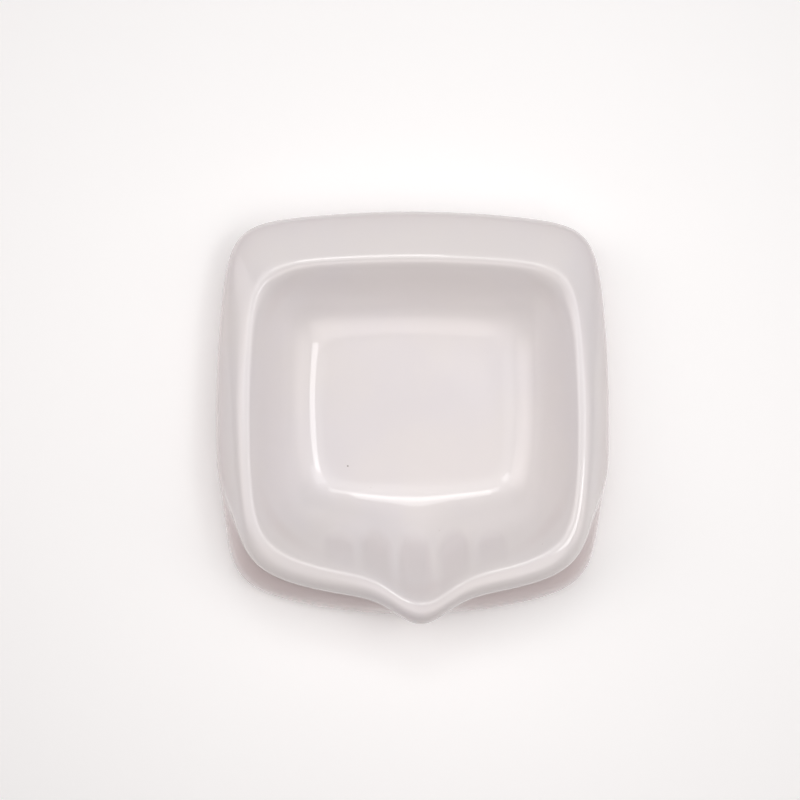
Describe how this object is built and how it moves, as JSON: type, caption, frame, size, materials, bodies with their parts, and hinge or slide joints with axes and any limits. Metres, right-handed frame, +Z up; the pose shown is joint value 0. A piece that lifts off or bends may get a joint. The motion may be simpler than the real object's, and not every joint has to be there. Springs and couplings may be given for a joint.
{
  "type": "ceramic bedpan",
  "caption": "Glazed ceramic bedpan: squared deep basin, broad sloping back seat, rolled rim drawn into a pouring lip, flared skirt and unglazed foot ring.",
  "frame": {"origin": "on the surface that the pan stands on, below the middle of the skirt's foot", "axes": "+Z up out of the basin, +Y towards the back with the broad seat, -Y towards the pouring lip"},
  "size_m": [0.3, 0.311, 0.0764],
  "materials": {
    "glaze": "glossy",
    "biscuit": "matte, unglazed"
  },
  "bodies": {
    "root": {"basin": "glaze", "seat_rim": "glaze", "skirt": "glaze", "base_ring": "glaze", "foot_ring": "biscuit"}
  },
  "joints": []
}
